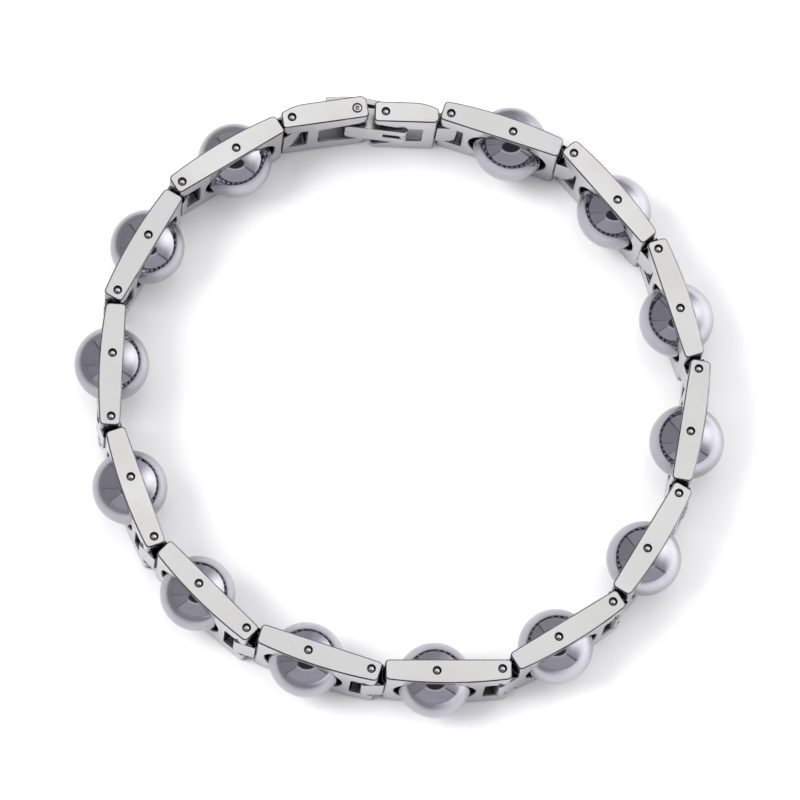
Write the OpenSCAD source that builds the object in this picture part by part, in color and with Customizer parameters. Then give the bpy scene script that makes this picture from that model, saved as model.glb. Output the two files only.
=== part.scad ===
// Stone bead bracelet: 13 steel links, each with a round stone bead in its window,
// closed by a fold-over clasp. It stands on its edge, with the pins upright.
// The links run counterclockwise seen from above, from the clasp's pivot side
// round to its catch side. A link's own frame has X along the row of links and
// Y towards the wrist. The clasp's frame has X towards the catch and Y outwards.

/* [Stone beads] */
// Diameter of a round stone bead
bead_d = 8; // [7.6:0.1:8.2]
// Gap between a bead and the window that it sits in
bead_gap = 0.3; // [0.2:0.05:0.35]
// How far the beads sit outside the line of the hinge pins
bead_out = 0.2; // [0:0.05:0.3]

/* [Bead links] */
// Width of the bracelet, along the pins
band_w = 10; // [9.8:0.1:11]
// Distance from one hinge pin to the next along a bead link
link_pitch = 13.8; // [13.7:0.05:14]
// Thickness of a link at its middle, from the wrist side outwards
link_t = 2.6; // [2.5:0.1:3]
// Distance from the hinge pins to the wrist side of the links
wrist_side = 1; // [0.9:0.05:1.1]
// Radius of the gently curved outer side of a link, seen from above
outer_r = 50; // [45:5:80]
// Width of the tongue that enters the next link's fork
tongue_w = 4.8; // [4.6:0.1:5.4]
// Distance from a hinge pin to the closed end of the fork
fork_depth = 1.7; // [1.65:0.05:1.75]

/* [Pins] */
// Diameter of the hinge pins and of the pins that carry the beads
pin_d = 0.86; // [0.8:0.02:0.9]
// Depth of a pin's domed end below the link's flat edge
pin_recess = 0.12; // [0.05:0.01:0.2]
// Diameter of the clasp's pivot pin
pivot_d = 1; // [0.96:0.02:1.04]

/* [Clasp] */
// Length of the clasp's pivot link between its two pins
pivot_link_len = 7.06; // [7:0.02:7.2]
// Length of the clasp's catch link between its two pins
catch_link_len = 7; // [6.9:0.02:7.1]
// Width of the clasp's base and cover
plate_w = 3.9; // [3.6:0.1:4.1]
// Thickness of the clasp's cover
cover_t = 0.65; // [0.55:0.05:0.7]
// Radius of the arched top of the cover
cover_r = 16; // [15.5:0.5:17]
// Length of the cover's finger tab past the pivot pin
tab_reach = 3.4; // [3.1:0.1:3.6]
// Thickness of the clasp's base plate
base_t = 0.4; // [0.35:0.05:0.45]

/* [How it lies] */
// Direction in which the first link runs, in degrees
first_heading = 208; // [0:0.5:360]

/* [Hidden] */
$fn = 96;
LINKS = 13;
HINGES = 14;
eps = 0.01;

// Turn of each bead link against the link before it, in degrees
turns = [28.5, 27, 22, 25.5, 27, 18.5, 31.5, 27, 21.5, 27, 23, 31.5];
// Turn of the catch link against the last bead link, and of the first bead link
// against the pivot link
catch_turn = 17;
pivot_turn = 23;

mid_z = band_w / 2;
bead_x = link_pitch / 2;
window_d = bead_d + 2 * bead_gap;
outer_y = wrist_side - link_t;

// A link reaches from its shoulder to its fork's tips
shoulder_x = 1.45;
fork_tip = 1;
tongue_tip = 0.95;
side_gap = 0.1;
fork_w = tongue_w + 2 * side_gap;

// Corner radii of a link seen from above
wrist_corner = 0.45;
outer_corner = 0.5;
tongue_corner = 0.25;

// Gaps round the pins: fixed in a fork, running in a tongue or bead
fixed_gap = 0.02;
running_gap = 0.05;
dome_r = 0.55;

// Clasp links: sides, ends and the open slots for the base and cover
clasp_wrist_side = 1.15;
pivot_outer = 1.3;
catch_outer = 1.1;
pivot_end = 1.15;
catch_end = 1.2;
catch_shoulder = 1.3;
catch_tongue_outer = 0.8;
pivot_fork_tip = 1.1;
pivot_fork_depth = 1.6;
slot_play = 0.4;
slot_w = plate_w + slot_play;
pivot_slot_end = 4.1;
pivot_mouth_w = 5.8;
catch_slot_wrist = 2.95;
catch_slot_outer = 1.2;
catch_flare_x = 4.7;
catch_mouth_w = 7.6;

// Corner radii of the clasp links, and the curve of their outer sides towards the
// bead links: its radius, its length along the link and the corner at its end
pivot_corners = [0.4, 0.7, 0.45];
catch_corners = [0.6, 0.4, 0.4];
nose_r = 5.7;
nose_len = 2.7;
nose_corner = 0.3;

// Clasp base: plate under the pins, barrel round the pivot pin and block to the catch
plate_inner = 1.3;
plate_tail = 1;
tail_corner = 0.8;
barrel_r = 1.05;
arm_gap = 0.65;
knuckle_r = 0.5;
knuckle_w = 0.8;
knuckle_slot_w = 1;
knuckle_slot_len = 2.1;
hinge_pin_d = 0.46;
hinge_back = 2.15;

// Clasp cover: an arched plate with a leaning neck down to the hinge pin
cover_peak = 2.1;
cover_peak_x = 0.2;
neck_lean = 126.5;
neck_len = 2.7;
neck_free = 0.65;

// Ring of grooves that marks the end of the pivot pin
groove_r = 0.3;
groove_w = 0.08;
groove_depth = 0.08;

function dir(a) = [cos(a), sin(a)];
function sum_to(list, n) = n == 0 ? 0 : list[n - 1] + sum_to(list, n - 1);
function heading(k) = first_heading + sum_to(turns, k);
function hinge_at(k) = k == 0 ? [0, 0] : hinge_at(k - 1) + link_pitch * dir(heading(k - 1));
function bead_at(k) =
    hinge_at(k) + bead_x * dir(heading(k)) + bead_out * dir(heading(k) - 90);

// The clasp closes the row: its two links leave a gap that the base and cover span
catch_heading = heading(LINKS - 1) + catch_turn;
pivot_heading = first_heading - pivot_turn;
catch_at = hinge_at(LINKS) + catch_link_len * dir(catch_heading);
pivot_at = -pivot_link_len * dir(pivot_heading);
catch_x = norm(catch_at - pivot_at);
clasp_angle = atan2(catch_at.y - pivot_at.y, catch_at.x - pivot_at.x);
hinge_x = catch_x + hinge_back;
hinge_y = knuckle_r - plate_inner;
arc_y = cover_peak - cover_r;
arc_centre = pivot_at + cover_peak_x * dir(clasp_angle) + arc_y * dir(clasp_angle + 90);

// The bracelet's box is centred on the origin, so its middle is taken off each place
beads_x = [for (k = [0 : LINKS - 1]) bead_at(k).x];
beads_y = [for (k = [0 : LINKS - 1]) bead_at(k).y];
middle = [
    (min(beads_x) + max(beads_x)) / 2,
    (min(beads_y) - bead_d / 2 + arc_centre.y + cover_r) / 2
];

module at_link(k) translate(hinge_at(k) - middle) rotate(heading(k)) children();
module at_catch_link() translate(hinge_at(LINKS) - middle) rotate(catch_heading) children();
module at_pivot_link() translate(pivot_at - middle) rotate(pivot_heading) children();
module at_clasp() translate(pivot_at - middle) rotate(clasp_angle) children();

// A block between two corners, given as x, y and z
module block(low, high) translate(low) cube(high - low);

// A slab of width w, centred on the bracelet's middle height
module centred_slab(w) translate([0, 0, mid_z - w / 2]) linear_extrude(w) children();

// What a corner at x, y loses when it is rounded to radius r; sx and sy are the
// signs of the way in which the corner points
module corner_waste(x, y, sx, sy, r)
    translate([x, y]) scale_signs(sx, sy) difference() {
        translate([-r, -r]) square(r + eps);
        translate([-r, -r]) circle(r);
    }

module scale_signs(sx, sy)
    mirror([sx < 0 ? 1 : 0, 0]) mirror([0, sy < 0 ? 1 : 0]) children();

// What an outline loses outside its outer side's curve, of radius r about centre
module beyond_curve(centre, r, near, far)
    translate([near, centre.y - r - eps]) difference() {
        square([far - near, r]);
        translate([centre.x - near, r + eps]) circle(r, $fn = 360);
    }

// What the corner between a curved outer side, of radius big_r about centre, and the
// end at x loses when it is rounded to radius r; sx is the sign of the end's way out
module curve_corner_waste(centre, big_r, x, sx, r) {
    in_x = x - sx * r - centre.x;
    at = centre + [in_x, -sqrt(pow(big_r - r, 2) - in_x * in_x)];
    touch = at + 2 * r * (at - centre) / (big_r - r);
    end_x = x + sx * eps;
    difference() {
        polygon([at, [end_x, at.y], [end_x, touch.y], touch]);
        translate(at) circle(r);
    }
}

// Outline of a straight bar from above, with the corner radii r in the order near
// wrist, near outer, far wrist and far outer
module bar_outline(near, far, wrist, outer, r)
    difference() {
        translate([near, outer]) square([far - near, wrist - outer]);
        corner_waste(near, wrist, -1, 1, r[0]);
        corner_waste(near, outer, -1, -1, r[1]);
        corner_waste(far, wrist, 1, 1, r[2]);
        corner_waste(far, outer, 1, -1, r[3]);
    }

// Outline of a clasp link, whose outer side curves in at its nose, the end at x = nose.
// The corner radii r are those of the nose's wrist side, and of the tail's two sides
// in the order outer and wrist.
module clasp_outline(nose, tail, outer, r) {
    way = sign(nose - tail);
    curve = [nose - way * nose_len, outer + nose_r];
    low = min(nose, tail);
    difference() {
        translate([low, outer]) square([abs(nose - tail), clasp_wrist_side - outer]);
        beyond_curve(curve, nose_r, min(curve.x, nose) - (way < 0 ? eps : 0),
            max(curve.x, nose) + (way > 0 ? eps : 0));
        curve_corner_waste(curve, nose_r, nose, way, nose_corner);
        corner_waste(nose, clasp_wrist_side, way, 1, r[0]);
        corner_waste(tail, outer, -way, -1, r[1]);
        corner_waste(tail, clasp_wrist_side, -way, 1, r[2]);
    }
}

// A bead link's outline: straight on the wrist side and gently curved outside
module link_outline() {
    far = link_pitch + fork_tip;
    curve = [(shoulder_x + far) / 2, outer_y + outer_r];
    difference() {
        intersection() {
            translate([shoulder_x, outer_y]) square([far - shoulder_x, link_t]);
            translate(curve) circle(outer_r, $fn = 360);
        }
        corner_waste(shoulder_x, wrist_side, -1, 1, wrist_corner);
        corner_waste(far, wrist_side, 1, 1, wrist_corner);
        curve_corner_waste(curve, outer_r, shoulder_x, -1, outer_corner);
        curve_corner_waste(curve, outer_r, far, 1, outer_corner);
    }
}

module tongue(shoulder, outer, wrist)
    centred_slab(tongue_w)
        bar_outline(-tongue_tip, shoulder + eps, wrist, outer,
            [tongue_corner, tongue_corner, eps, eps]);

module pin_hole(x, y, d) translate([x, y, -eps]) cylinder(h = band_w + 2 * eps, d = d);

module fork_slot(x, depth, tip)
    block([x - depth, -link_t, mid_z - fork_w / 2],
        [x + tip + eps, link_t, mid_z + fork_w / 2]);

// A pin whose two ends are low domes
module domed_pin(d) {
    dome_h = dome_r - sqrt(dome_r * dome_r - d * d / 4);
    low = pin_recess;
    high = band_w - pin_recess;
    rotate_extrude() {
        translate([0, low + dome_h - eps]) square([d / 2, high - low - 2 * (dome_h - eps)]);
        intersection() {
            translate([0, low + dome_r]) circle(dome_r);
            translate([0, low - eps]) square([d / 2, dome_h + eps]);
        }
        intersection() {
            translate([0, high - dome_r]) circle(dome_r);
            translate([0, high - dome_h]) square([d / 2, dome_h + eps]);
        }
    }
}

module link_frame(k)
    color("gainsboro") at_link(k) difference() {
        union() {
            linear_extrude(band_w) link_outline();
            tongue(shoulder_x, -link_t / 2, wrist_side);
        }
        translate([bead_x, 0, mid_z]) rotate([90, 0, 0])
            cylinder(h = 4 * link_t, d = window_d, center = true);
        fork_slot(link_pitch, fork_depth, fork_tip);
        pin_hole(0, 0, pin_d + 2 * running_gap);
        pin_hole(bead_x, -bead_out, pin_d + 2 * fixed_gap);
        pin_hole(link_pitch, 0, pin_d + 2 * fixed_gap);
    }

module bead(k)
    color("slategray") at_link(k) translate([bead_x, -bead_out, mid_z]) difference() {
        sphere(d = bead_d);
        cylinder(h = 2 * bead_d, d = pin_d + 2 * running_gap, center = true);
    }

module bead_pin(k) color("silver") at_link(k) translate([bead_x, -bead_out]) domed_pin(pin_d);

module hinge_pin(k) color("silver") translate(hinge_at(k) - middle) domed_pin(pin_d);

module catch_pin() color("silver") translate(catch_at - middle) domed_pin(pin_d);

// The pivot pin is flush, with a round groove in each end
module pivot_pin()
    color("silver") translate(pivot_at - middle) difference() {
        cylinder(h = band_w, d = pivot_d);
        for (z = [-eps, band_w - groove_depth])
            translate([0, 0, z]) difference() {
                cylinder(h = groove_depth + eps, r = groove_r);
                cylinder(h = groove_depth + eps, r = groove_r - groove_w);
            }
    }

// A cut through a link from its wrist side outwards. points are along the link and
// along the pins, from the middle height.
module cut_across(points)
    translate([0, link_t, mid_z]) rotate([90, 0, 0]) linear_extrude(2 * link_t)
        polygon(points);

// The clasp's pivot link, forked for the first bead link and slotted for the base.
// The slot widens towards its mouth.
module pivot_link()
    color("gainsboro") at_pivot_link() difference() {
        linear_extrude(band_w)
            clasp_outline(pivot_link_len + pivot_fork_tip, -pivot_end, -pivot_outer,
                pivot_corners);
        cut_across([
            [-pivot_end - eps, -pivot_mouth_w / 2], [pivot_slot_end, -slot_w / 2],
            [pivot_slot_end, slot_w / 2], [-pivot_end - eps, pivot_mouth_w / 2]
        ]);
        fork_slot(pivot_link_len, pivot_fork_depth, pivot_fork_tip);
        pin_hole(0, 0, pivot_d + 2 * fixed_gap);
        pin_hole(pivot_link_len, 0, pin_d + 2 * fixed_gap);
    }

// The clasp's catch link, with a tongue in the last fork and a slot that widens
// towards its mouth and whose closed end slopes back to let the cover swing open
module catch_link()
    color("gainsboro") at_catch_link() difference() {
        union() {
            linear_extrude(band_w)
                clasp_outline(catch_shoulder, catch_link_len + catch_end, -catch_outer,
                    catch_corners);
            tongue(catch_shoulder, -catch_tongue_outer, wrist_side);
        }
        centred_slab(slot_w) polygon([
            [catch_link_len + catch_end + eps, clasp_wrist_side + eps],
            [catch_slot_wrist, clasp_wrist_side + eps],
            [catch_slot_outer, -catch_outer - eps],
            [catch_link_len + catch_end + eps, -catch_outer - eps]
        ]);
        cut_across([
            [catch_link_len + catch_end + eps, -catch_mouth_w / 2],
            [catch_flare_x, -slot_w / 2], [catch_flare_x, slot_w / 2],
            [catch_link_len + catch_end + eps, catch_mouth_w / 2]
        ]);
        pin_hole(0, 0, pin_d + 2 * running_gap);
        pin_hole(catch_link_len, 0, pin_d + 2 * fixed_gap);
    }

// The base's plate seen from the wrist, with a rounded tail
module base_outline() {
    half = plate_w / 2;
    difference() {
        translate([-plate_tail, -half]) square([plate_tail + hinge_x, plate_w]);
        corner_waste(-plate_tail, half, -1, 1, tail_corner);
        corner_waste(-plate_tail, -half, -1, -1, tail_corner);
    }
}

module clasp_base()
    color("lightgray") at_clasp() difference() {
        union() {
            translate([0, base_t - plate_inner, mid_z]) rotate([90, 0, 0])
                linear_extrude(base_t) base_outline();
            centred_slab(plate_w) {
                circle(barrel_r);
                translate([0, base_t - plate_inner - eps])
                    square([catch_x - arm_gap, barrel_r - base_t + plate_inner + eps]);
                translate([hinge_x, hinge_y]) circle(knuckle_r);
            }
        }
        block([hinge_x - knuckle_slot_len, -2 * plate_inner, mid_z - knuckle_slot_w / 2],
            [hinge_x + 2 * knuckle_r, 0, mid_z + knuckle_slot_w / 2]);
        pin_hole(0, 0, pivot_d + 2 * running_gap);
        pin_hole(hinge_x, hinge_y, hinge_pin_d + 2 * fixed_gap);
    }

// The cover from above: the arched plate, the bend and the neck down to the hinge
module cover_outline() {
    bend = neck_len * dir(neck_lean);
    arc_mid = cover_r - cover_t / 2;
    plate_end = hinge_x + bend.x;
    bend_y = arc_y + sqrt(arc_mid * arc_mid - pow(plate_end - cover_peak_x, 2));
    intersection() {
        translate([cover_peak_x, arc_y]) difference() {
            circle(cover_r, $fn = 360);
            circle(cover_r - cover_t, $fn = 360);
        }
        translate([-tab_reach, 0]) square([plate_end + tab_reach, 2 * cover_peak]);
    }
    translate([plate_end, bend_y]) circle(cover_t / 2);
    translate([hinge_x, hinge_y]) rotate(neck_lean)
        translate([0, -cover_t / 2]) square([neck_len, cover_t]);
}

module clasp_cover()
    color("lightgray") at_clasp() difference() {
        union() {
            difference() {
                centred_slab(plate_w) cover_outline();
                translate([hinge_x, hinge_y]) cylinder(h = band_w, r = neck_free);
            }
            centred_slab(knuckle_w) {
                translate([hinge_x, hinge_y]) {
                    circle(knuckle_r);
                    rotate(neck_lean) translate([0, -cover_t / 2]) square([neck_len, cover_t]);
                }
            }
        }
        pin_hole(hinge_x, hinge_y, hinge_pin_d + 2 * running_gap);
    }

module cover_hinge_pin()
    color("silver") at_clasp() translate([hinge_x, hinge_y, mid_z])
        cylinder(h = plate_w, d = hinge_pin_d, center = true);

function numbered(name, k) = str(name, "_", k < 10 ? "0" : "", k);

for (k = [1 : LINKS]) {
    link_frame(k - 1);
    bead(k - 1);
    bead_pin(k - 1);
}
for (k = [1 : HINGES])
    hinge_pin(k - 1);
pivot_link();
pivot_pin();
catch_link();
catch_pin();
clasp_base();
clasp_cover();
cover_hinge_pin();
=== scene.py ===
# Stone bead bracelet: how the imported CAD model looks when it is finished.
# Everything is in metres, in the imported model's own frame: the bracelet stands on
# its edge, with the pins upright. A piece's own frame has X along the piece and Y
# across it, and the attribute own_place keeps each point's place in that frame.
import math

import bmesh
import bpy
from mathutils import Matrix, Vector


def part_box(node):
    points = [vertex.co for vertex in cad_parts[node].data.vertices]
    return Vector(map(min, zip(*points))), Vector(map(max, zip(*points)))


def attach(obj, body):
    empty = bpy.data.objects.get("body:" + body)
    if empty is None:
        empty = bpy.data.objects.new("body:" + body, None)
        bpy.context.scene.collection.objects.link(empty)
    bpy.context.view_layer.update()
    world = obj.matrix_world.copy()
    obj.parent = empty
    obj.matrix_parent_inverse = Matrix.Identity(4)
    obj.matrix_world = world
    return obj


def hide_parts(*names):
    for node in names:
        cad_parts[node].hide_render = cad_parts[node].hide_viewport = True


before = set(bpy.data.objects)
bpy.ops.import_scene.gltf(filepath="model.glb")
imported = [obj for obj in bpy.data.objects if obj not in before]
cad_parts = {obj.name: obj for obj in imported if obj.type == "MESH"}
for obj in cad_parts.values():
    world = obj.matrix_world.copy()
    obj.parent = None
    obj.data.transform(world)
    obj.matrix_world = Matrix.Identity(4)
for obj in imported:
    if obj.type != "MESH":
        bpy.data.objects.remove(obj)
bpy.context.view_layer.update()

MM = 0.001
MICRON = 0.001 * MM
LINKS = 13
HINGES = 14

# Sizes of the turned pieces. A dome is given by its radius, and a groove by its inner
# radius, its outer radius and its depth.
BEAD_BORE, BEAD_LIP = 0.48 * MM, 0.07 * MM
PIN_RADIUS, PIN_DOME, PIN_RIM = 0.43 * MM, 0.55 * MM, 0.03 * MM
SWING_RADIUS, SWING_DOME, SWING_RIM = 0.23 * MM, 0.6 * MM, 0.02 * MM
PIVOT_RADIUS, PIVOT_RIM = 0.5 * MM, 0.18 * MM
PIVOT_GROOVE = (0.1 * MM, 0.21 * MM, 0.15 * MM)

# How wide the edges of the other pieces are rounded.
LINK_EDGE = 0.17 * MM
COVER_EDGE = 0.08 * MM
BASE_EDGE = 0.04 * MM


# ---- Where the pieces are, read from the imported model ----

def numbered(name, k):
    return f"{name}_{k:02d}"


def names(name, count):
    return [numbered(name, k) for k in range(1, count + 1)]


def middle(node):
    low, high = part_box(node)
    return (low + high) / 2


def on_floor(point):
    return Vector((point.x, point.y, 0))


def heading(start, end):
    """Direction from one pin to another, seen from above."""
    run = end - start
    return math.atan2(run.y, run.x)


hinges = [on_floor(middle(n)) for n in names("hinge_pin", HINGES)]
bead_middles = [middle(n) for n in names("bead", LINKS)]
pivot = on_floor(middle("pivot_pin"))
catch = on_floor(middle("catch_pin"))
cover_hinge = on_floor(middle("cover_hinge_pin"))
row_turns = [heading(a, b) for a, b in zip(hinges, hinges[1:])]
all_pins = hinges + [pivot, catch] + [on_floor(p) for p in bead_middles]
band_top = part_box("link_01")[1].z
pin_low, pin_high = (p.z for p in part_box("bead_pin_01"))
swing_low, swing_high = (p.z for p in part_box("cover_hinge_pin"))


# ---- Node trees ----

def add(tree, kind, sockets=None, **settings):
    """Adds a node and makes its settings. Then each of its named or numbered inputs gets
    another node's output or a fixed value."""
    new = tree.nodes.new(kind)
    for name, value in settings.items():
        setattr(new, name, value)
    for name, value in (sockets or {}).items():
        if isinstance(value, bpy.types.NodeSocket):
            tree.links.new(value, new.inputs[name])
        else:
            new.inputs[name].default_value = value
    return new


def calc(tree, operation, a, b=0.0):
    """One step of arithmetic on two values."""
    return add(tree, "ShaderNodeMath", {0: a, 1: b}, operation=operation).outputs[0]


def plus(tree, a, b):
    return calc(tree, "ADD", a, b)


def times(tree, a, b):
    return calc(tree, "MULTIPLY", a, b)


def dot(tree, vector, axis):
    """How far a vector reaches along an axis."""
    return add(tree, "ShaderNodeVectorMath", {0: vector, 1: axis},
               operation="DOT_PRODUCT").outputs["Value"]


def fade(tree, value, low, high, bottom=0.0, top=1.0):
    """A smooth rise from bottom to top while value goes from low to high."""
    return add(tree, "ShaderNodeMapRange", {
        "Value": value, "From Min": low, "From Max": high, "To Min": bottom, "To Max": top,
    }, interpolation_type="SMOOTHSTEP").outputs["Result"]


def blend_colour(tree, share, first, second):
    """The first colour where share is 0, the second where it is 1."""
    return add(tree, "ShaderNodeMix", {0: share, 6: first, 7: second},
               data_type="RGBA").outputs[2]


def scaled(colour, shares):
    """A colour with its red, green and blue each taken times a share."""
    return tuple(c * s for c, s in zip(colour[:3], shares)) + (1.0,)


def noise(tree, place, scale, detail=2.0, roughness=0.5):
    return add(tree, "ShaderNodeTexNoise", {
        "Vector": place, "Scale": scale, "Detail": detail, "Roughness": roughness,
    }).outputs["Fac"]


def stretched(tree, place, scale, turn=(0.0, 0.0, 0.0)):
    return add(tree, "ShaderNodeMapping", {
        "Vector": place, "Scale": scale, "Rotation": turn,
    }).outputs["Vector"]


def attribute(tree, name, output="Fac"):
    """What a piece's own mesh says under this name."""
    return add(tree, "ShaderNodeAttribute", attribute_name=name).outputs[output]


def new_group(name, inputs, outputs):
    """A shader group with its named sockets, and its input and output nodes."""
    group = bpy.data.node_groups.new(name, "ShaderNodeTree")
    for socket, kind, value in inputs:
        made = group.interface.new_socket(socket, in_out="INPUT", socket_type=kind)
        if value is not None:
            made.default_value = value
    for socket in outputs:
        group.interface.new_socket(socket, in_out="OUTPUT", socket_type="NodeSocketFloat")
    given = group.nodes.new("NodeGroupInput").outputs
    return group, given, group.nodes.new("NodeGroupOutput")


def use_group(tree, group, sockets):
    return add(tree, "ShaderNodeGroup", sockets, node_tree=group).outputs


# ---- Effects that several finishes share ----

VECTOR, FLOAT = "NodeSocketVector", "NodeSocketFloat"


def polishing_lines():
    """Fine uneven lines that run along a piece."""
    group, given, out = new_group("polishing lines", [
        ("Place", VECTOR, None), ("Across", FLOAT, 9000.0), ("Along", FLOAT, 260.0),
    ], ["Lines"])
    scale = add(group, "ShaderNodeCombineXYZ", {
        "X": given["Along"], "Y": given["Across"], "Z": given["Across"]}).outputs[0]
    fine = add(group, "ShaderNodeVectorMath", {0: given["Place"], 1: scale},
               operation="MULTIPLY").outputs[0]
    group.links.new(noise(group, fine, 1.0, 3.0, 0.6), out.inputs["Lines"])
    return group


def painted_edge_line():
    """A painted dark line along a rounded edge, a painted reflection of the dark parts of a
    room; uneven in depth. The attribute rim is 1 on the rounding and 0 on the faces beside
    it."""
    group, given, out = new_group("edge line", [
        ("Place", VECTOR, None), ("Patches", FLOAT, 500.0), ("Least", FLOAT, 0.75),
    ], ["Line"])
    patches = fade(group, noise(group, given["Place"], given["Patches"]), 0.35, 0.65,
                   given["Least"], 1.0)
    group.links.new(times(group, attribute(group, "rim"), patches), out.inputs["Line"])
    return group


def hairline_scratches():
    """A few hairline scratches in two directions, from wear against other things. Each
    direction has patches of its own, finer in the second one."""
    group, given, out = new_group("hairline scratches", [
        ("Place", VECTOR, None), ("Spread", FLOAT, 420.0), ("Share", FLOAT, 0.6),
    ], ["Scratches"])
    found = []
    for turn, finer in (((0.3, 0.2, 0.5), 1.0), ((0.1, 0.4, -0.9), 4.7)):
        drawn = stretched(group, given["Place"], (1.0, 14.0, 14.0), turn)
        cells = add(group, "ShaderNodeTexVoronoi", {
            "Vector": drawn, "Scale": given["Spread"]}, feature="DISTANCE_TO_EDGE")
        line = fade(group, cells.outputs["Distance"], 0.035, 0.0)
        where = noise(group, stretched(group, given["Place"], (finer,) * 3), 380.0)
        found.append(times(group, line, fade(group, where, given["Share"], 0.75)))
    group.links.new(calc(group, "MAXIMUM", *found), out.inputs["Scratches"])
    return group


def recess_shade():
    """Painted shade: how deep a spot sits in a gap, slot or hole, where light doesn't
    reach, or whether it lines one. The attribute inside is up to 1 on the faces that line
    them."""
    group, given, out = new_group("recess shade", [
        ("Place", VECTOR, None), ("Reach", FLOAT, 4.5 * MM), ("Lining", FLOAT, 0.6),
    ], ["Shade"])
    open_share = add(group, "ShaderNodeAmbientOcclusion", {
        "Distance": given["Reach"]}, samples=6).outputs["AO"]
    uneven = times(group, calc(
        group, "SUBTRACT", noise(group, given["Place"], 900.0), 0.5), 0.1)
    deep = fade(group, plus(group, open_share, uneven), 0.52, 0.2)
    lining = times(group, attribute(group, "inside"), given["Lining"])
    group.links.new(calc(group, "MAXIMUM", deep, lining), out.inputs["Shade"])
    return group


LINES, EDGE, SCRATCHES = polishing_lines(), painted_edge_line(), hairline_scratches()
RECESS = recess_shade()


# ---- Finishes ----

PATTERN_STEP = (0.137, 0.211, 0.173)         # from one copy's patterns to the next one's
WARM_PATCH, WARM_SHARE = (0.87, 0.845, 0.82), 0.9
DULLEST_FLAT = (0.83, 0.83, 0.83)            # beside the brightest copy of the same piece
SCRATCHED = (0.35, 0.35, 0.36, 1)
PAINTED_RECESS_SHADE = (0.05, 0.05, 0.055, 1)          # painted shade, deep in a gap or slot
UNLIT = (0.06, 0.06, 0.065, 1)               # painted shade of steel's far side, as the beads mirror it
PITTED = (0.1, 0.095, 0.11, 1)
LEAST_ROUGH = 0.04


def start_material(name):
    """An empty material: its tree, its shader and the place that its patterns read, which
    is in another part of them on each copy of a piece."""
    made = bpy.data.materials.new(name)
    made.use_nodes = True
    tree = made.node_tree
    tree.nodes.clear()
    shader = add(tree, "ShaderNodeBsdfPrincipled")
    add(tree, "ShaderNodeOutputMaterial", {"Surface": shader.outputs[0]},
        is_active_output=True)
    apart = add(tree, "ShaderNodeVectorMath", {
        0: PATTERN_STEP, "Scale": attribute(tree, "number")}, operation="SCALE").outputs[0]
    place = add(tree, "ShaderNodeVectorMath", {
        0: attribute(tree, "own_place", "Vector"), 1: apart}, operation="ADD").outputs[0]
    return made, tree, shader, place


def finish_material(tree, shader, colour, rough, height, depth):
    """Leads a metallic finish's values to its shader. Height 1 is the depth given."""
    bump = add(tree, "ShaderNodeBump", {"Height": height, "Distance": depth})
    tree.links.new(colour, shader.inputs["Base Color"])
    tree.links.new(rough, shader.inputs["Roughness"])
    tree.links.new(bump.outputs[0], shader.inputs["Normal"])
    shader.inputs["Metallic"].default_value = 1.0


def facing_up_or_down(tree):
    """1 on the flat edges that the pins go through, 0 on the walls between them."""
    normal = add(tree, "ShaderNodeTexCoord").outputs["Normal"]
    up = add(tree, "ShaderNodeSeparateXYZ", {0: normal}).outputs["Z"]
    return fade(tree, calc(tree, "ABSOLUTE", up), 0.8, 0.98)


def mirrored_from_afar(tree):
    """The share of painted shade: above 0 only where a piece across the bracelet mirrors
    this one.
    """
    ray = add(tree, "ShaderNodeLightPath").outputs
    far = fade(tree, ray["Ray Length"], 9 * MM, 15 * MM, 0.0, 0.85)
    return times(tree, ray["Is Glossy Ray"], far)


def steel(name, flat, wall, edge, flat_rough, wall_rough, line_height, scratch_share,
          recess_reach):
    """Polished steel. flat, wall and edge are the metal's colours on each kind of face; a
    wall darker than the flats is painted shade, and edge is the painted dark line along the
    roundings. Pieces across the bracelet mirror it darker than it is, a painted shade for
    its unlit side."""
    made, tree, shader, place = start_material(name)
    on_flat = facing_up_or_down(tree)
    lines = use_group(tree, LINES, {"Place": place})["Lines"]
    rounding = use_group(tree, EDGE, {"Place": place})["Line"]
    scratches = use_group(tree, SCRATCHES, {
        "Place": place, "Share": scratch_share})["Scratches"]
    recess = use_group(tree, RECESS, {"Place": place, "Reach": recess_reach})["Shade"]
    patches = fade(tree, noise(tree, place, 130.0, 3.0), 0.3, 0.7)
    copy_tone = add(tree, "ShaderNodeTexWhiteNoise", {
        "W": attribute(tree, "number")}, noise_dimensions="1D").outputs["Value"]

    # Painted shade and reflection: the walls' darker colour, the dark line on the
    # roundings, the dark in recesses and the darker far reflections. The warm patches, the
    # tone of each copy and the scratches are the steel's own.
    colour = blend_colour(tree, on_flat, wall, flat)
    for share, other in (
            (times(tree, patches, times(tree, on_flat, WARM_SHARE)),
             scaled(flat, WARM_PATCH)),
            (times(tree, copy_tone, on_flat), scaled(flat, DULLEST_FLAT)),
            (times(tree, scratches, 0.2), SCRATCHED),
            (rounding, edge), (recess, PAINTED_RECESS_SHADE), (mirrored_from_afar(tree), UNLIT)):
        colour = blend_colour(tree, share, colour, other)

    rough = add(tree, "ShaderNodeMix", {
        0: on_flat, 2: wall_rough, 3: flat_rough}).outputs[0]
    for effect, rougher in (
            (calc(tree, "SUBTRACT", lines, 0.5), 0.06), (scratches, 0.08),
            (rounding, -0.5 * flat_rough), (recess, 0.25)):
        rough = plus(tree, rough, times(tree, effect, rougher))
    rough = calc(tree, "MAXIMUM", rough, LEAST_ROUGH)

    height = times(tree, noise(tree, place, 240.0, 1.0), 25.0)
    for effect, rise in ((lines, line_height), (scratches, -0.8)):
        height = plus(tree, height, times(tree, effect, rise))
    finish_material(tree, shader, colour, rough, height, MICRON)
    return made


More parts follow.
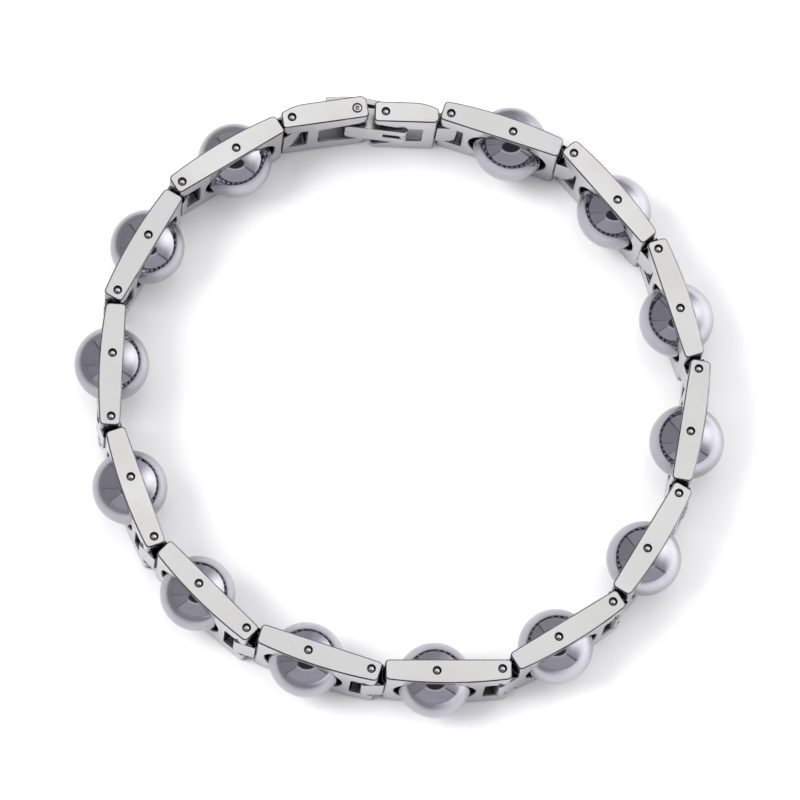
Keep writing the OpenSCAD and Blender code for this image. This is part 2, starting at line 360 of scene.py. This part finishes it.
def bead_stone(name, light, dark):
    """Dark grey stone polished to a mirror, with faint clouds and a few tiny pits."""
    made, tree, shader, place = start_material(name)
    clouds = fade(tree, noise(tree, place, 380.0, 4.0, 0.6), 0.3, 0.7)
    grain = fade(tree, noise(tree, place, 5200.0, 2.0), 0.3, 0.7)
    cells = add(tree, "ShaderNodeTexVoronoi", {"Vector": place, "Scale": 1150.0})
    pits = times(tree, fade(tree, cells.outputs["Distance"], 0.085, 0.05),
                 fade(tree, noise(tree, place, 300.0), 0.52, 0.6))

    tone = plus(tree, times(tree, clouds, 0.75), times(tree, grain, 0.25))
    colour = blend_colour(tree, pits, blend_colour(tree, tone, dark, light), PITTED)
    rough = plus(tree, 0.03, times(tree, clouds, 0.025))
    rough = plus(tree, rough, times(tree, pits, 0.4))
    height = calc(tree, "SUBTRACT", times(tree, grain, 0.012), pits)
    finish_material(tree, shader, colour, rough, height, 10 * MICRON)
    return made


SATIN_STEEL = steel(
    "polished link steel", flat=(0.81, 0.812, 0.815, 1), wall=(0.64, 0.64, 0.645, 1),
    edge=(0.06, 0.06, 0.065, 1), flat_rough=0.22, wall_rough=0.1, line_height=0.12,
    scratch_share=0.62, recess_reach=4.5 * MM)
PLATE_STEEL = steel(
    "pressed clasp steel", flat=(0.73, 0.732, 0.735, 1), wall=(0.66, 0.66, 0.665, 1),
    edge=(0.1, 0.1, 0.105, 1), flat_rough=0.2, wall_rough=0.1, line_height=0.2,
    scratch_share=0.58, recess_reach=3.0 * MM)
# The pins' dark wall colour is painted shade: it darkens the steep rims of the domes and
# the pivot pin's groove into dark rings.
PIN_STEEL = steel(
    "ground pin steel", flat=(0.82, 0.82, 0.82, 1), wall=(0.16, 0.16, 0.165, 1),
    edge=(0.5, 0.5, 0.5, 1), flat_rough=0.1, wall_rough=0.14, line_height=0.1,
    scratch_share=0.65, recess_reach=0.45 * MM)
BEAD_STONE = bead_stone(
    "mirror polished grey stone", light=(0.487, 0.479, 0.518, 1),
    dark=(0.418, 0.41, 0.452, 1))


# ---- Turned shapes ----

def new_object(name, mesh):
    made = bpy.data.objects.new(name, mesh)
    bpy.context.scene.collection.objects.link(made)
    return made


def smooth(mesh):
    mesh.polygons.foreach_set("use_smooth", [True] * len(mesh.polygons))
    mesh.update()


def turned(name, profile, steps):
    """A lathe-turned shape about Z. profile holds (radius, height) points in order; it
    ends on the axis at both ends, or else it closes on itself round a bore."""
    shape = bmesh.new()
    rings = []
    for radius, height in profile:
        if radius == 0:
            rings.append([shape.verts.new((0, 0, height))] * steps)
            continue
        angles = [2 * math.pi * i / steps for i in range(steps)]
        rings.append([shape.verts.new((radius * math.cos(a), radius * math.sin(a), height))
                      for a in angles])
    pairs = list(zip(rings, rings[1:]))
    if profile[0][0] > 0:
        pairs.append((rings[-1], rings[0]))
    for upper, lower in pairs:
        for i in range(steps):
            j = (i + 1) % steps
            corners = [upper[i], upper[j], lower[j], lower[i]]
            shape.faces.new([c for n, c in enumerate(corners) if c not in corners[:n]])
    bmesh.ops.recalc_face_normals(shape, faces=shape.faces)
    mesh = bpy.data.meshes.new(name)
    shape.to_mesh(mesh)
    shape.free()
    smooth(mesh)
    return mesh


def arc(centre, radius, start, end, steps):
    """Points on a circle in a profile, between two angles in degrees."""
    found = []
    for i in range(steps + 1):
        a = math.radians(start + (end - start) * i / steps)
        found.append((centre[0] + radius * math.cos(a), centre[1] + radius * math.sin(a)))
    return found


def bead_profile():
    """A round bead about its own middle, with a bore whose two rims are rounded."""
    low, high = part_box("bead_01")
    radius = max(high.z - low.z, high.x - low.x) / 2
    mouth, inner = BEAD_BORE + BEAD_LIP, radius - BEAD_LIP
    rim = math.degrees(math.asin(mouth / inner))
    depth = inner * math.cos(math.radians(rim))
    side = arc((0, 0), radius, 90 - rim, rim - 90, 60)
    upper = arc((mouth, depth), BEAD_LIP, 180, 90 - rim, 5)
    lower = [(r, -z) for r, z in reversed(upper)]
    walls = [(BEAD_BORE, depth * share) for share in (-0.75, -0.5, -0.25, 0, 0.25, 0.5)]
    return upper[:-1] + side + lower[1:] + walls


def domed_profile(low, high, radius, dome, rim):
    """An upright pin whose two ends are low domes with softened rims."""
    reach = radius - rim
    sink = dome - math.sqrt(dome * dome - reach * reach)
    steepest = math.degrees(math.asin(reach / dome))
    crown = arc((0, high - dome), dome, 90, 90 - steepest, 8)
    crown[0] = (0, high)
    edge = arc((reach, high - sink - rim), rim, 80 - steepest, 0, 3)
    half = crown + edge
    return half + [(r, low + high - z) for r, z in reversed(half)]


def flush_profile(low, high, radius, rim, groove):
    """An upright pin with flat ends, each with a round groove; groove is its inner and
    outer radius and its depth."""
    inner, outer, depth = groove
    soft = 0.012 * MM
    half = [
        (0, high), (inner - soft, high), (inner, high - soft),
        (inner, high - depth + soft), (inner + soft, high - depth),
        (outer - soft, high - depth), (outer, high - depth + soft),
        (outer, high - soft), (outer + soft, high),
    ] + arc((radius - rim, high - rim), rim, 90, 0, 3)
    return half + [(r, low + high - z) for r, z in reversed(half)]


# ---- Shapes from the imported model, with rounded edges ----

ROUNDED = 1                # the material index of a rounding's faces until they are marked
SHARP = math.radians(32)   # an edge that turns further than this is rounded
HOLE_REACH = 0.62 * MM     # an edge this close to a pin's place is the rim of its hole
HOLE_SHARE = 0.25          # such a rim's rounding, as a share of the other edges'
LEVEL = 0.9                # a face is level if its normal points this far up or down
EDGE_DEPTH = 0.3 * MM      # a level face this close to the top or bottom is a flat edge
LEDGE_AREA = 2 * MM * MM   # any other that is larger than this is a slot's or fork's ledge
# How far a face points to the wrist or outwards, below which it is no longer all wall,
# and below which it is all lining.
WALL_TURN, LINING_TURN = 0.8, 0.45
# How much the ledges count as lining and get its painted shade, on the bead links and on
# the clasp.
LINK_LEDGES, CLASP_LEDGES = 1.0, 0.7


def own_frame(place, turn):
    return (Matrix.Translation(place) @ Matrix.Rotation(turn, 4, "Z")).inverted()


def own_places(points, place, turn):
    return [own_frame(place, turn) @ p for p in points]


def joined_copy(node, place, turn):
    """A CAD node's mesh in the piece's own frame, with its corners joined and its flats
    whole."""
    shape = bmesh.new()
    shape.from_mesh(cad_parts[node].data)
    bmesh.ops.remove_doubles(shape, verts=shape.verts, dist=0.002 * MM)
    bmesh.ops.dissolve_degenerate(shape, edges=shape.edges, dist=0.001 * MM)
    bmesh.ops.dissolve_limit(
        shape, angle_limit=math.radians(0.5), verts=shape.verts, edges=shape.edges,
        use_dissolve_boundaries=False)
    shape.transform(own_frame(place, turn))
    shape.verts.index_update()
    points = [v.co[:] for v in shape.verts]
    faces = [[v.index for v in f.verts] for f in shape.faces]
    shape.free()
    mesh = bpy.data.meshes.new(node + " shape")
    mesh.from_pydata(points, [], faces)
    smooth(mesh)
    return mesh


def rounded_copy(piece, width, pins, ledges):
    """The piece with its sharp edges rounded and its faces marked. The rims of the pin
    holes, round the pins' places in the piece's own frame, are rounded less."""
    shape = bmesh.new()
    shape.from_mesh(piece.data)
    weights = shape.edges.layers.float.new("bevel_weight_edge")
    for edge in shape.edges:
        if edge.calc_face_angle(0) > SHARP:
            at_hole = any(all((v.co - p).xy.length < HOLE_REACH for v in edge.verts)
                          for p in pins)
            edge[weights] = HOLE_SHARE if at_hole else 1.0
    shape.to_mesh(piece.data)
    shape.free()
    bevel = piece.modifiers.new("rounded edges", "BEVEL")
    bevel.width, bevel.segments, bevel.limit_method = width, 3, "WEIGHT"
    bevel.use_clamp_overlap = False
    bevel.miter_outer = "MITER_ARC"
    piece.data.materials.append(None)
    piece.data.materials.append(None)
    bevel.material = ROUNDED
    rounded = plain_piece(piece, piece.name)
    mark_faces(rounded.data, ledges)
    return rounded


def mark_faces(mesh, ledges):
    """Keeps two attributes. rim is 1 on the points that lie on a rounding and on no other
    face; the painted dark edge line goes there. inside, the share of painted shade, is 1 on
    the faces that line a slot, fork, hole or window or close a piece's end: they face
    neither the wrist nor outwards, and aren't the flat edges. On the ledges of slots and
    forks, which face the light, it is the value given."""
    shape = bmesh.new()
    shape.from_mesh(mesh)
    rim = shape.verts.layers.float.new("rim")
    inside = shape.faces.layers.float.new("inside")
    heights = [v.co.z for v in shape.verts]
    low, high = min(heights), max(heights)
    for corner in shape.verts:
        corner[rim] = float(all(f.material_index == ROUNDED for f in corner.link_faces))
    for face in shape.faces:
        z = face.calc_center_median().z
        level = abs(face.normal.z) > LEVEL
        on_flat = level and min(z - low, high - z) < EDGE_DEPTH
        if face.material_index != ROUNDED and not on_flat:
            ledge = level and face.calc_area() > LEDGE_AREA
            lining = (WALL_TURN - abs(face.normal.y)) / (WALL_TURN - LINING_TURN)
            face[inside] = min(max(lining, 0), 1) * (ledges if ledge else 1.0)
        face.material_index = 0
    shape.to_mesh(mesh)
    shape.free()
    mesh.materials.clear()


def keep_flats_flat(piece):
    weigh = piece.modifiers.new("flat faces", "WEIGHTED_NORMAL")
    weigh.mode, weigh.weight, weigh.keep_sharp = "FACE_AREA", 50, False


# ---- Laying the pieces along the row ----

def places_object(name, places):
    """The points that a repeated piece is laid on: middle, turn and running number."""
    mesh = bpy.data.meshes.new(name)
    mesh.from_pydata([p for p, _ in places], [], [])
    turns = mesh.attributes.new("turn", "FLOAT", "POINT")
    turns.data.foreach_set("value", [t for _, t in places])
    numbers = mesh.attributes.new("number", "FLOAT", "POINT")
    numbers.data.foreach_set("value", [float(i + 1) for i in range(len(places))])
    return new_object(name, mesh)


def row_tree():
    """Geometry nodes that lay one shape along the row, each copy turned to its place."""
    tree = bpy.data.node_groups.new("lay along the row", "GeometryNodeTree")
    for socket, kind in (("Shape", "Geometry"), ("Places", "Object"), ("First", "Int"),
                         ("Count", "Int"), ("Finish", "Material")):
        tree.interface.new_socket(socket, in_out="INPUT", socket_type="NodeSocket" + kind)
    tree.interface.new_socket("Row", in_out="OUTPUT", socket_type="NodeSocketGeometry")
    given = tree.nodes.new("NodeGroupInput").outputs
    own = add(tree, "GeometryNodeStoreNamedAttribute", {
        "Geometry": given["Shape"], "Name": "own_place",
        "Value": tree.nodes.new("GeometryNodeInputPosition").outputs[0],
    }, data_type="FLOAT_VECTOR", domain="POINT")
    spots = add(tree, "GeometryNodeObjectInfo", {"Object": given["Places"]})
    index = tree.nodes.new("GeometryNodeInputIndex").outputs[0]
    end = plus(tree, given["First"], given["Count"])
    after, before = (
        add(tree, "FunctionNodeCompare", {2: index, 3: limit}, data_type="INT",
            operation=operation).outputs[0]
        for operation, limit in (("GREATER_EQUAL", given["First"]), ("LESS_THAN", end)))
    both = add(tree, "FunctionNodeBooleanMath", {0: after, 1: before}, operation="AND")
    turn = add(tree, "GeometryNodeInputNamedAttribute", {"Name": "turn"}, data_type="FLOAT")
    turned_by = add(tree, "ShaderNodeCombineXYZ", {"Z": turn.outputs["Attribute"]})
    rotation = add(tree, "FunctionNodeEulerToRotation", {0: turned_by.outputs[0]})
    laid = add(tree, "GeometryNodeInstanceOnPoints", {
        "Points": spots.outputs["Geometry"], "Selection": both.outputs[0],
        "Instance": own.outputs[0], "Rotation": rotation.outputs[0]})
    real = add(tree, "GeometryNodeRealizeInstances", {"Geometry": laid.outputs[0]})
    done = add(tree, "GeometryNodeSetMaterial", {
        "Geometry": real.outputs[0], "Material": given["Finish"]})
    add(tree, "NodeGroupOutput", {0: done.outputs[0]})
    return tree


ROW_TREE = row_tree()


def lay_along_row(piece, places, first, count, finish):
    laid = piece.modifiers.new("row", "NODES")
    laid.node_group = ROW_TREE
    values = {"Places": places, "First": first, "Count": count, "Finish": finish}
    for socket in ROW_TREE.interface.items_tree:
        if socket.in_out == "INPUT" and socket.name in values:
            laid[socket.identifier] = values[socket.name]


def plain_piece(piece, name):
    """The piece with all its modifiers worked in, as a plain mesh of its own."""
    view = bpy.context.evaluated_depsgraph_get()
    mesh = bpy.data.meshes.new_from_object(piece.evaluated_get(view))
    bpy.data.objects.remove(piece)
    mesh.name = name
    return new_object(name, mesh)


def repeated_piece(name, shape, places, finish, body, nodes, first=0, count=None,
                   edge=0, pins=(), ledges=LINK_LEDGES):
    """One shape laid on its places along the row, as one plain piece. With an edge width,
    its edges are rounded."""
    piece = new_object(name + " pattern", shape.copy())
    if edge:
        piece = rounded_copy(piece, edge, pins, ledges)
    lay_along_row(piece, places, first, count or len(places.data.vertices), finish)
    if edge:
        keep_flats_flat(piece)
    piece = plain_piece(piece, name)
    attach(piece, body)
    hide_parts(*nodes)


def clasp_piece(name, node, start, end, finish, body, edge):
    """One piece of the clasp: the CAD node's shape with its edges rounded."""
    turn = heading(start, end)
    spot = places_object(name + " place", [(start, turn)])
    repeated_piece(
        name, joined_copy(node, start, turn), spot, finish, body, [node],
        edge=edge, pins=own_places(all_pins, start, turn), ledges=CLASP_LEDGES)
    bpy.data.objects.remove(spot)


# ---- The bracelet ----

link_places = places_object("link places", list(zip(hinges, row_turns)))
bead_places = places_object("bead places", list(zip(bead_middles, row_turns)))
bead_pin_places = places_object("bead pin places", [
    (on_floor(p), t) for p, t in zip(bead_middles, row_turns)])
hinge_pin_places = places_object("hinge pin places", [(p, 0.0) for p in hinges + [catch]])
pivot_place = places_object("pivot pin place", [(pivot, 0.0)])
swing_place = places_object("cover hinge pin place", [(cover_hinge, 0.0)])

repeated_piece(
    "bead_links", joined_copy("link_01", hinges[0], row_turns[0]), link_places, SATIN_STEEL,
    "bracelet", names("link", LINKS), edge=LINK_EDGE,
    pins=own_places(all_pins, hinges[0], row_turns[0]))

bead_shape = turned("bead", bead_profile(), steps=96)
for k in range(LINKS):
    repeated_piece(
        numbered("stone_bead", k + 1), bead_shape, bead_places, BEAD_STONE,
        numbered("bead", k + 1) + "_body", [numbered("bead", k + 1)],
        first=k, count=1)

pin_shape = turned(
    "pin", domed_profile(pin_low, pin_high, PIN_RADIUS, PIN_DOME, PIN_RIM), steps=40)
repeated_piece(
    "bead_carrying_pins", pin_shape, bead_pin_places, PIN_STEEL, "bracelet",
    names("bead_pin", LINKS))
repeated_piece(
    "hinge_pins", pin_shape, hinge_pin_places, PIN_STEEL, "bracelet",
    names("hinge_pin", HINGES) + ["catch_pin"])

pivot_shape = turned("pivot pin", flush_profile(
    0, band_top, PIVOT_RADIUS, PIVOT_RIM, PIVOT_GROOVE), steps=48)
repeated_piece(
    "clasp_pivot_pin", pivot_shape, pivot_place, PIN_STEEL, "bracelet",
    ["pivot_pin"])

swing_shape = turned("cover hinge pin", domed_profile(
    swing_low, swing_high, SWING_RADIUS, SWING_DOME, SWING_RIM), steps=32)
repeated_piece(
    "clasp_cover_hinge_pin", swing_shape, swing_place, PIN_STEEL, "bracelet",
    ["cover_hinge_pin"])

clasp_piece("clasp_pivot_link", "pivot_link", pivot, hinges[0], SATIN_STEEL, "bracelet",
            LINK_EDGE)
clasp_piece("clasp_catch_link", "catch_link", hinges[-1], catch, SATIN_STEEL, "bracelet",
            LINK_EDGE)
clasp_piece("clasp_base_plate", "clasp_base", pivot, catch, PLATE_STEEL, "bracelet",
            BASE_EDGE)
clasp_piece("clasp_cover_plate", "clasp_cover", pivot, catch, PLATE_STEEL, "cover",
            COVER_EDGE)

for places in (link_places, bead_places, bead_pin_places, hinge_pin_places, pivot_place,
               swing_place):
    bpy.data.objects.remove(places)


# ---- Camera ----

# The place and view that put the pin ends where the photograph has them.
CAMERA_AT = Vector((-55.6, -191.2, 779.9)) * MM
CAMERA_RIGHT = Vector((0.9959, -0.0723, 0.0537)).normalized()
TO_CAMERA = Vector((-0.0696, -0.2397, 0.9684)).normalized()
CAMERA_UP = TO_CAMERA.cross(CAMERA_RIGHT).normalized()
FOCAL_LENGTH, IMAGE_SIDE = 7507, 800      # both in the image's own pixels
SENSOR_WIDTH = 36


def photo_camera():
    camera = new_object("camera", bpy.data.cameras.new("camera"))
    camera.data.sensor_width = SENSOR_WIDTH
    camera.data.lens = SENSOR_WIDTH * FOCAL_LENGTH / IMAGE_SIDE
    camera.data.clip_start, camera.data.clip_end = 0.01, 20
    axes = Matrix((CAMERA_UP.cross(TO_CAMERA), CAMERA_UP, TO_CAMERA)).transposed()
    camera.matrix_world = Matrix.Translation(CAMERA_AT) @ axes.to_4x4()
    bpy.context.scene.camera = camera


# ---- Floor ----

FLOOR_SIDE, FLOOR_TOP = 4.0, -0.02 * MM
CARD = (0.93, 0.93, 0.93, 1)
# The floor as reflections see it is painted: these colours stand in for its shade and for
# the lamp's light on it.
MIRRORED_NEAR = (0.8, 0.8, 0.805, 1)      # the floor in reflections, by the bracelet,
MIRRORED_FAR = (0.24, 0.235, 0.24, 1)     # away from it, and away on the lamp's side
MIRRORED_LIT = (1, 1, 1, 1)
LAMP_WAY = (0.98, -0.2, 0)


def white_floor():
    """White card with a slight gloss. Reflections alone see it painted grey away from the
    bracelet, and painted with a little glow on the lamp's side: a painted reflection, where
    the camera sees plain card."""
    mesh = bpy.data.meshes.new("floor")
    mesh.from_pydata([
        (x * FLOOR_SIDE, y * FLOOR_SIDE, FLOOR_TOP)
        for x, y in ((-1, -1), (1, -1), (1, 1), (-1, 1))], [], [(0, 1, 2, 3)])
    floor = new_object("floor", mesh)
    card = bpy.data.materials.new("white card")
    card.use_nodes = True
    tree = card.node_tree
    shader = tree.nodes["Principled BSDF"]
    place = add(tree, "ShaderNodeTexCoord").outputs["Object"]
    away = add(tree, "ShaderNodeVectorMath", {0: place},
               operation="LENGTH").outputs["Value"]
    to_lamp = calc(tree, "DIVIDE", dot(tree, place, LAMP_WAY), away)
    lamp_side = fade(tree, to_lamp, 0.0, 0.8)
    outer = blend_colour(tree, lamp_side, MIRRORED_FAR, MIRRORED_LIT)
    reflected = blend_colour(tree, fade(tree, away, 36 * MM, 58 * MM),
                             MIRRORED_NEAR, outer)
    mirrored = add(tree, "ShaderNodeLightPath").outputs["Is Glossy Ray"]
    tree.links.new(blend_colour(tree, mirrored, CARD, reflected),
                   shader.inputs["Base Color"])
    # Painted light: reflections see the floor glow on the lamp's side, away from the
    # bracelet.
    glow = times(tree, lamp_side, fade(tree, away, 30 * MM, 60 * MM))
    tree.links.new(times(tree, mirrored, glow), shader.inputs["Emission Strength"])
    shader.inputs["Emission Color"].default_value = (0.15, 0.15, 0.15, 1)
    shader.inputs["Roughness"].default_value = 0.25
    shader.inputs["Specular IOR Level"].default_value = 1.0
    mesh.materials.append(card)


# ---- Studio tent and lamps ----

# The tent as a mirror ball shows it to the camera, across and up from the ball's middle,
# with the ball's rim at 1. An oval is its middle and how far it reaches each way.
LAMP = (0.54, 0.25), (0.42, 0.54)
OVERHEAD = (0.054, 0.27), (0.3, 0.24)
OPENING = (0.02, -0.09), (0.255, 0.155)
# The tent's panels round the ball's middle: the angle at which each ends, its brightness
# and the half width of the darker rib that ends it.
PANELS = [(75, 0.62, 0), (128, 0.46, 2.2), (183, 0.38, 0.7), (214, 0.41, 1.0),
          (327, 0.58, 2.6), (360, 0.5, 0)]
RIB = 0.17
RIB_SOFT, SEAM_SOFT = 0.8, 4.0            # how wide a panel fades out, in degrees
PANEL_TINT = (1, 0.985, 1.06)


def ball_view(tree):
    """The tent's directions as they lie on the mirror ball, across and up, and how high
    each looks."""
    look = add(tree, "ShaderNodeTexCoord").outputs["Generated"]
    near = calc(tree, "MAXIMUM", plus(tree, dot(tree, look, TO_CAMERA), 1.0), 0.001)
    size = calc(tree, "SQRT", times(tree, near, 2.0))
    across = calc(tree, "DIVIDE", dot(tree, look, CAMERA_RIGHT), size)
    up = calc(tree, "DIVIDE", dot(tree, look, CAMERA_UP), size)
    height = add(tree, "ShaderNodeSeparateXYZ", {0: look}).outputs["Z"]
    return across, up, height


def oval(tree, across, up, middle_at, reach):
    """0 in the middle of an oval on the mirror ball, 1 on its outline."""
    parts = [calc(tree, "POWER", calc(tree, "ABSOLUTE", calc(tree, "DIVIDE", calc(
        tree, "SUBTRACT", value, c), r)), 2.0)
        for value, c, r in zip((across, up), middle_at, reach)]
    return calc(tree, "SQRT", plus(tree, *parts))


def panel_ramp(tree, turn):
    """The panels' colour, by the turn round the ball's middle, from 0 to 1."""
    marks, start, gap = [], 0, 0
    for end, level, half in PANELS:
        soft = RIB_SOFT if half else SEAM_SOFT
        marks += [(start + gap, level), (end - half - soft * (end < 360), level)]
        if half:
            marks += [(end - half / 2, RIB), (end + half / 2, RIB)]
        start, gap = end, half + soft
    ramp = add(tree, "ShaderNodeValToRGB", {"Fac": turn})
    stops = ramp.color_ramp
    stops.interpolation = "LINEAR"
    stops.elements.remove(stops.elements[-1])
    for n, (angle, level) in enumerate(marks):
        place = min(angle / 360, 1)
        stop = stops.elements[0] if n == 0 else stops.elements.new(place)
        stop.position = place
        stop.color = scaled((level,) * 3, PANEL_TINT)
    return ramp.outputs["Color"]


def studio_tent():
    """A grey light tent, as the world. Its ribs meet at the dark opening for the camera,
    which has a pale frame below. It is brighter over the bracelet's flat edges, a lamp
    shines through its right side, and it ends darker at the table, but for that side."""
    world = bpy.data.worlds.new("studio tent")
    bpy.context.scene.world = world
    world.use_nodes = True
    tree = world.node_tree
    tree.nodes.clear()
    across, up, height = ball_view(tree)
    turn = calc(tree, "DIVIDE", calc(tree, "ARCTAN2", up, across), 2 * math.pi)
    tent = panel_ramp(tree, calc(tree, "FRACT", plus(tree, turn, 1.0)))

    lamp = calc(tree, "POWER", fade(tree, oval(tree, across, up, *LAMP), 1.0, 0.0), 1.3)
    past_rib = fade(tree, plus(tree, up, times(tree, across, 0.62)), 0.0, 0.04)
    right_side = fade(tree, across, 0.5, 0.76)
    over = fade(tree, oval(tree, across, up, *OVERHEAD), 1.0, 0.6)
    from_opening = oval(tree, across, up, *OPENING)
    frame_below = times(tree, fade(tree, from_opening, 1.25, 1.12),
                        fade(tree, up, -0.12, -0.2))
    table_edge = times(tree, fade(tree, height, 0.09, 0.0),
                       fade(tree, across, 0.3, 0.62, 0.35, 0.0))
    for share, colour in (
            (right_side, (1.5, 1.5, 1.5, 1)),
            (times(tree, lamp, past_rib), (2.1, 2.1, 2.1, 1)),
            (over, (1.0, 1.0, 0.995, 1)),
            (frame_below, (0.85, 0.85, 0.86, 1)),
            (fade(tree, from_opening, 1.08, 0.86), (0.05, 0.05, 0.06, 1)),
            (table_edge, (0.2, 0.18, 0.18, 1))):
        tent = blend_colour(tree, share, tent, colour)

    seen = add(tree, "ShaderNodeLightPath").outputs["Is Camera Ray"]
    backdrop = blend_colour(tree, seen, tent, (1.05, 1.05, 1.05, 1))
    light = add(tree, "ShaderNodeBackground", {"Color": backdrop})
    add(tree, "ShaderNodeOutputWorld", {"Surface": light.outputs[0]})


def soft_light(name, energy, spread, direction):
    """A broad soft light for the shadows on the floor, its spread in degrees. Reflections
    show the tent alone."""
    lamp = bpy.data.lights.new(name, "SUN")
    lamp.energy, lamp.angle = energy, math.radians(spread)
    light = new_object(name, lamp)
    light.rotation_mode = "QUATERNION"
    light.rotation_quaternion = Vector(direction).to_track_quat("Z", "Y")
    light.visible_glossy = False


photo_camera()
white_floor()
studio_tent()
soft_light("key light from the left", 2.45, 32, (-0.64, 0.09, 0.75))
soft_light("fill light from above", 1.2, 120, (0.05, -0.25, 1))
bpy.context.scene.view_settings.view_transform = "Standard"
